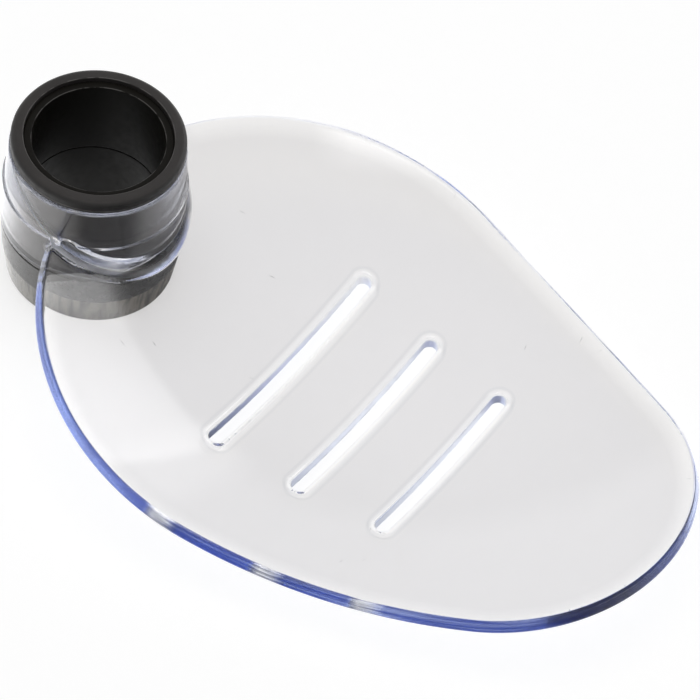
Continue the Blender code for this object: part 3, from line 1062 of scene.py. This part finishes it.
class SOAPDISH_OT_ring(bpy.types.Operator):
    """Makes the tapered ring that holds the collar up"""

    bl_idname = "soapdish.ring"
    bl_label = "Retaining ring"

    def execute(self, context):
        s = context.scene.bush_sizes
        top = RING_BOX[1][2]
        fine = s.liner_ease
        corners = [
            (s.ring_top, top, fine),
            (s.ring_waist, s.ring_waist_height, fine),
            (s.ring_foot, 2.0 * fine, fine),
            (s.ring_foot - 2.0 * fine, 0.0, fine),
            (s.bush_bore, 0.0, fine),
            (s.bush_bore, s.ring_shelf, 0.0),
            (s.ring_bore, s.ring_shelf, 0.0),
            (s.ring_bore, s.bead_height - 2.0 * s.bead_rise, 0.0),
            (s.ring_bore + s.bead_rise, s.bead_height, 0.0),
            (s.ring_bore, s.bead_height + 2.0 * s.bead_rise, 0.0),
            (s.ring_bore, top, fine),
        ]
        look = context.scene.finishes
        finish = dark_plastic(
            "charcoal_ring_look",
            look.ring_tone,
            roughness=0.24,
            grain=0.000004,
            shine=0.6,
            # Painted reflection: the taper below the crease is painted paler
            low_tone=look.taper_reflection_tone,
            low_roughness=0.20,
            step=s.ring_waist_height,
            drawing=0.75,
        )
        dress(turned("retaining_ring_skin", corners, finish), "bush", "retaining_ring")
        return {"FINISHED"}


class SOAPDISH_OT_liners(bpy.types.Operator):
    """Makes the two thin liners in the bush's bore"""

    bl_idname = "soapdish.liners"
    bl_label = "Liners"

    def execute(self, context):
        s = context.scene.bush_sizes
        # The liners' near black is partly painted shade deep in the bore
        tone = context.scene.finishes.liner_tone
        for name, box in (("upper_liner", UPPER_BOX), ("lower_liner", LOWER_BOX)):
            foot, top = box[0][2], box[1][2]
            mouth = ()
            if name == "upper_liner":
                foot -= LINER_MEET
                # The upper liner's mouth gets a painted edge highlight
                mouth = ((s.liner_bore, top),)
            else:
                top += LINER_MEET
            corners = [
                (s.liner_radius, top, s.liner_ease),
                (s.liner_radius, foot, s.liner_ease),
                (s.liner_bore, foot, s.liner_ease),
                (s.liner_bore, top, s.liner_ease),
            ]
            look = f"charcoal_{name}_look"
            finish = dark_plastic(look, tone, roughness=0.42, grain=0.000015, shine=0.10, highlit_edges=mouth)
            dress(turned(f"{name}_skin", corners, finish), "bush", name)
        return {"FINISHED"}


class SOAPDISH_OT_studio(bpy.types.Operator):
    """Makes the floor, the light and the camera"""

    bl_idname = "soapdish.studio"
    bl_label = "Studio"

    def execute(self, context):
        form = bmesh.new()
        bmesh.ops.create_grid(form, x_segments=4, y_segments=4, size=FLOOR_HALF_SIDE)
        bmesh.ops.translate(form, verts=form.verts, vec=(0.0, 0.0, -FLOOR_DROP))
        mesh = bpy.data.meshes.new("floor")
        form.to_mesh(mesh)
        form.free()
        mesh.materials.append(floor_paint(context.scene.finishes))
        new_object("floor", mesh)
        studio_world()
        softbox("top_softbox", azimuth=150.0, elevation=82.0, distance=1.4, size=(0.9, 0.9), radiance=4.0)
        camera = bpy.data.cameras.new("camera")
        camera.sensor_width = 36.0
        camera.lens = CAMERA_LENS
        camera.clip_start = 0.05
        camera.clip_end = 50.0
        item = bpy.data.objects.new("camera", camera)
        context.scene.collection.objects.link(item)
        item.location = CAMERA_PLACE
        item.rotation_euler = [radians(part) for part in CAMERA_TURN]
        context.scene.camera = item
        context.scene.view_settings.view_transform = "Standard"
        context.scene.cycles.max_bounces = RIM_BOUNCES
        context.scene.cycles.glossy_bounces = RIM_BOUNCES
        context.scene.cycles.transmission_bounces = RIM_BOUNCES
        return {"FINISHED"}


class SOAPDISH_PT_panel(bpy.types.Panel):
    """Lists the dish's pieces and their sizes"""

    bl_idname = "SOAPDISH_PT_panel"
    bl_label = "Soap dish"
    bl_space_type = "VIEW_3D"
    bl_region_type = "UI"
    bl_category = "Soap dish"

    def draw(self, context):
        for operator in OPERATORS:
            self.layout.operator(operator.bl_idname)
        for group in ("dish_sizes", "bush_sizes", "finishes"):
            box = self.layout.box()
            held = getattr(context.scene, group)
            for key in held.__annotations__:
                box.prop(held, key)


OPERATORS = (SOAPDISH_OT_dish, SOAPDISH_OT_bush, SOAPDISH_OT_ring, SOAPDISH_OT_liners, SOAPDISH_OT_studio)
GROUPS = {"dish_sizes": DishSizes, "bush_sizes": BushSizes, "finishes": Finishes}


def register():
    """Adds the classes and their settings to Blender."""
    for item in (*GROUPS.values(), *OPERATORS, SOAPDISH_PT_panel):
        bpy.utils.register_class(item)
    for name, group in GROUPS.items():
        setattr(bpy.types.Scene, name, PointerProperty(type=group))


def unregister():
    """Takes the classes and their settings out of Blender."""
    for name in GROUPS:
        delattr(bpy.types.Scene, name)
    for item in (SOAPDISH_PT_panel, *OPERATORS, *GROUPS.values()):
        bpy.utils.unregister_class(item)


def main():
    """Makes the whole scene."""
    register()
    bpy.ops.soapdish.studio()
    bpy.ops.soapdish.dish()
    bpy.ops.soapdish.bush()
    bpy.ops.soapdish.ring()
    bpy.ops.soapdish.liners()


if __name__ == "__main__":
    main()
